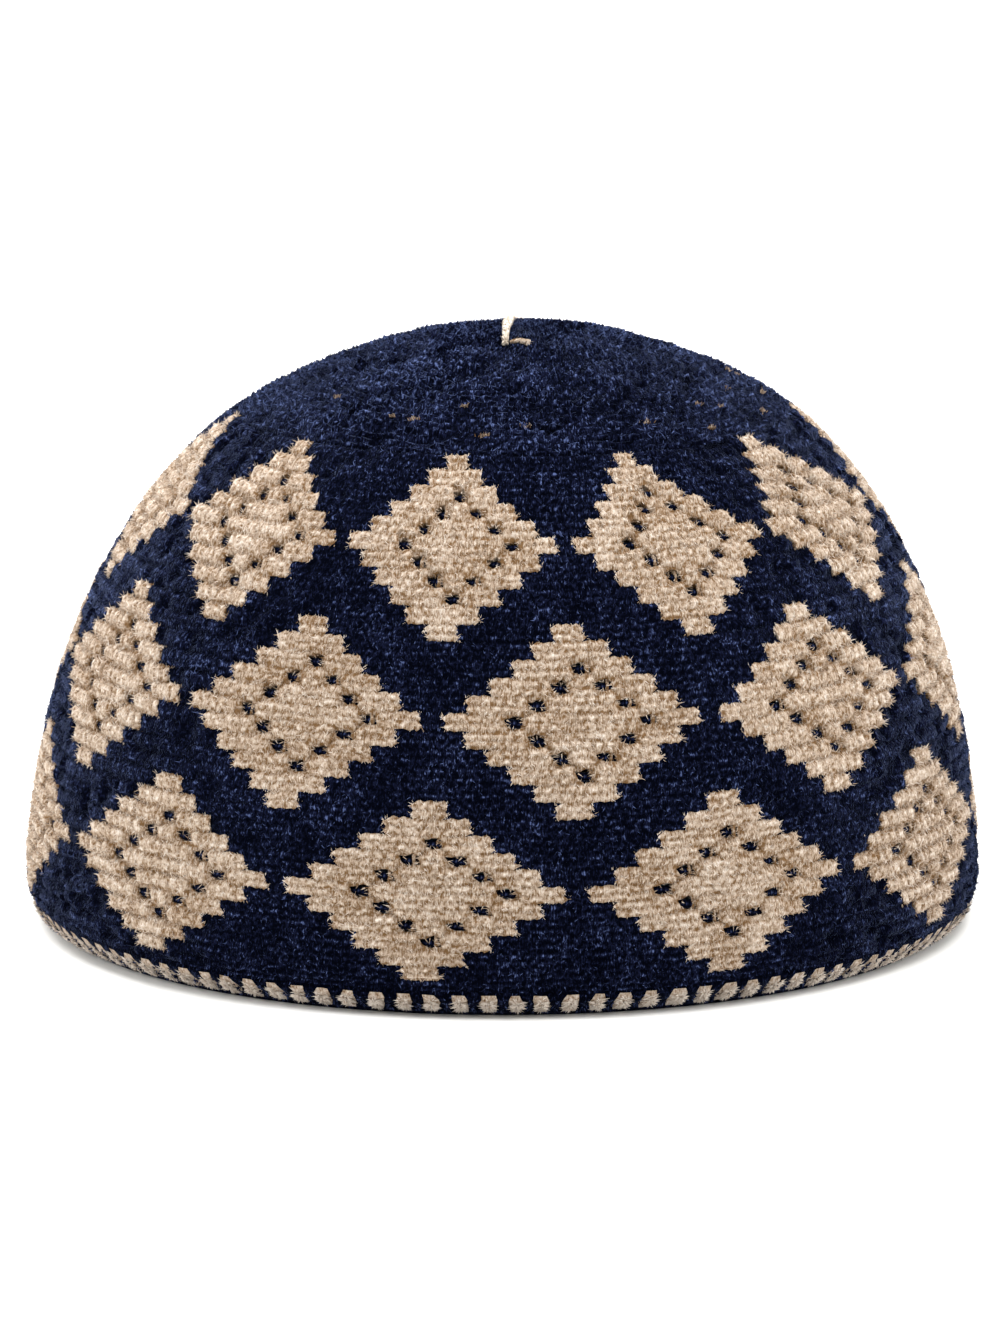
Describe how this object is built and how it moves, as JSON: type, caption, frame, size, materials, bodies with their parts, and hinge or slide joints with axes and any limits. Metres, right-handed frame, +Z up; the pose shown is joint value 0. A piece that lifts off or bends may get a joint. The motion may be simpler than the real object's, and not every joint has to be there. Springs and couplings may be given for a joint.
{
  "type": "crocheted kufi cap",
  "caption": "Brimless crocheted dome cap in navy and beige chenille, with rows of pierced diamonds, a checked edging at the rim and a loose yarn end on top.",
  "frame": {"origin": "centre of the rim, on the plane that the cap stands on", "axes": "+Z up through the crown, the front of the cap towards -Y, +X to the wearer's left"},
  "size_m": [0.1878, 0.1878, 0.1191],
  "materials": {
    "navy_yarn": "soft dark navy chenille yarn, matt with a greyer sheen on the pile",
    "beige_yarn": "soft warm beige chenille yarn, matt with a pale pile",
    "edging_yarn": "beige and navy chenille yarn in checks, matt",
    "tail_yarn": "pale beige two-ply thread, matt"
  },
  "bodies": {
    "root": {"crown": "navy_yarn", "diamond_low_01": "beige_yarn", "diamond_low_02": "beige_yarn", "diamond_low_03": "beige_yarn", "diamond_low_04": "beige_yarn", "diamond_low_05": "beige_yarn", "diamond_low_06": "beige_yarn", "diamond_low_07": "beige_yarn", "diamond_low_08": "beige_yarn", "diamond_low_09": "beige_yarn", "diamond_low_10": "beige_yarn", "diamond_mid_01": "beige_yarn", "diamond_mid_02": "beige_yarn", "diamond_mid_03": "beige_yarn", "diamond_mid_04": "beige_yarn", "diamond_mid_05": "beige_yarn", "diamond_mid_06": "beige_yarn", "diamond_mid_07": "beige_yarn", "diamond_mid_08": "beige_yarn", "diamond_mid_09": "beige_yarn", "diamond_mid_10": "beige_yarn", "diamond_high_01": "beige_yarn", "diamond_high_02": "beige_yarn", "diamond_high_03": "beige_yarn", "diamond_high_04": "beige_yarn", "diamond_high_05": "beige_yarn", "diamond_high_06": "beige_yarn", "diamond_high_07": "beige_yarn", "diamond_high_08": "beige_yarn", "diamond_high_09": "beige_yarn", "diamond_high_10": "beige_yarn", "edging": "edging_yarn", "yarn_tail": "tail_yarn", "tail_stitch": "tail_yarn"}
  },
  "joints": []
}
